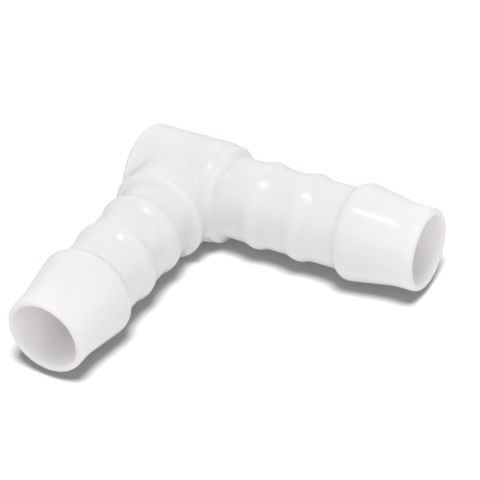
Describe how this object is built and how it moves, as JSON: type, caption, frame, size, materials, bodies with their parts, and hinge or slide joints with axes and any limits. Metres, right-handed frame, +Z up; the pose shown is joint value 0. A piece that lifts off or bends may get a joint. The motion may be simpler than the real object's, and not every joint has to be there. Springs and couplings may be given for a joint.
{
  "type": "elbow hose connector",
  "caption": "Right-angle hose connector moulded in one piece, with ribbed hose arms, a retaining collar on each arm and open bores that meet in a round hub.",
  "frame": {"origin": "the point where the axes of the two arms cross, at the middle of the hub's height", "axes": "+X along the branch arm towards its mouth, +Y along the main arm towards its mouth and in line with the round hub, +Z up from the surface that the part lies on"},
  "size_m": [0.0463, 0.0462, 0.015],
  "materials": {
    "elbow_connector": "milky white moulded plastic with a soft gloss, slightly translucent"
  },
  "bodies": {
    "root": {"elbow_connector": "elbow_connector"}
  },
  "joints": []
}
